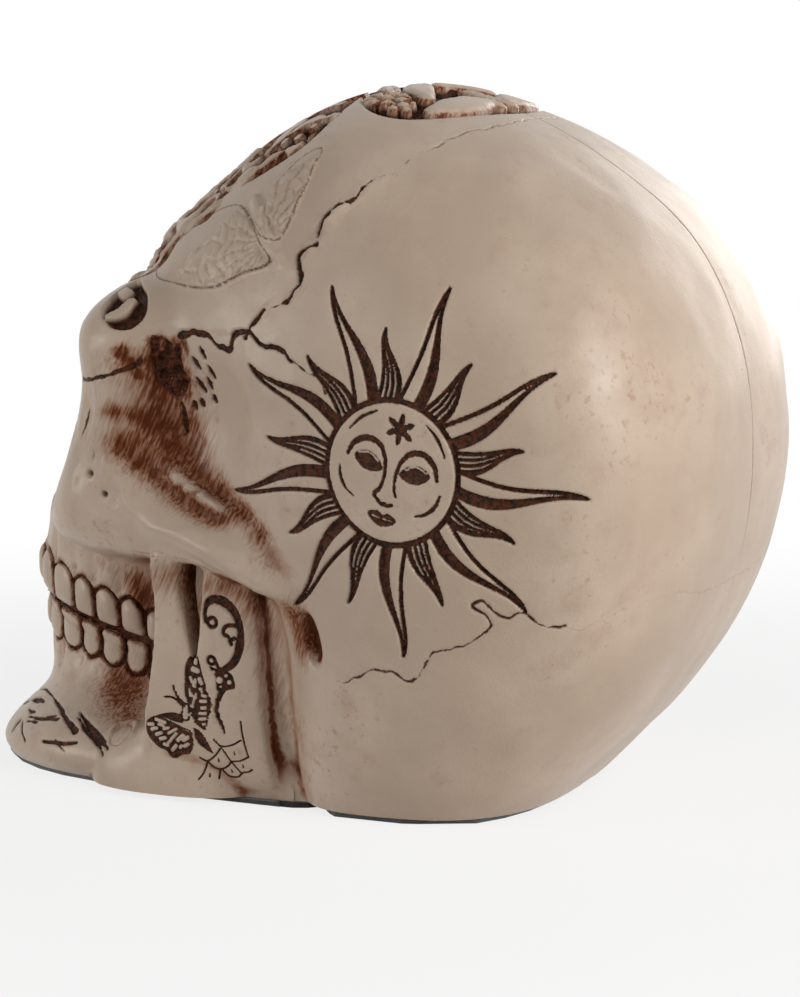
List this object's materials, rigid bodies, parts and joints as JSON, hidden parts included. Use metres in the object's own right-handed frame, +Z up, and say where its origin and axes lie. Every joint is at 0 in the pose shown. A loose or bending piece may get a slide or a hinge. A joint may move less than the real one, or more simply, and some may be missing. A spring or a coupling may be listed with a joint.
{
  "type": "decorative skull ornament",
  "caption": "Cast resin skull ornament with a hollow braincase in two glued halves, a glued jaw, a base plug and a felt foot.",
  "frame": {"origin": "on the surface the skull stands on, midway between the sides, below the front of the braincase", "axes": "+Z up, the face looks along -Y, +X is the skull's own left side"},
  "size_m": [0.121, 0.166, 0.1439],
  "materials": {
    "bone_left": "cast resin painted aged bone with brown stain in the carving, satin",
    "bone_right": "cast resin painted aged bone with brown stain in the carving, satin",
    "bone_jaw": "cast resin painted aged bone with brown stain in the carving, satin",
    "stopper_rubber": "dark matt rubber",
    "felt": "thin black felt"
  },
  "bodies": {
    "root": {"left_half_shell": "bone_left", "right_half_shell": "bone_right", "jaw": "bone_jaw", "stopper": "stopper_rubber", "base_felt": "felt"}
  },
  "joints": []
}
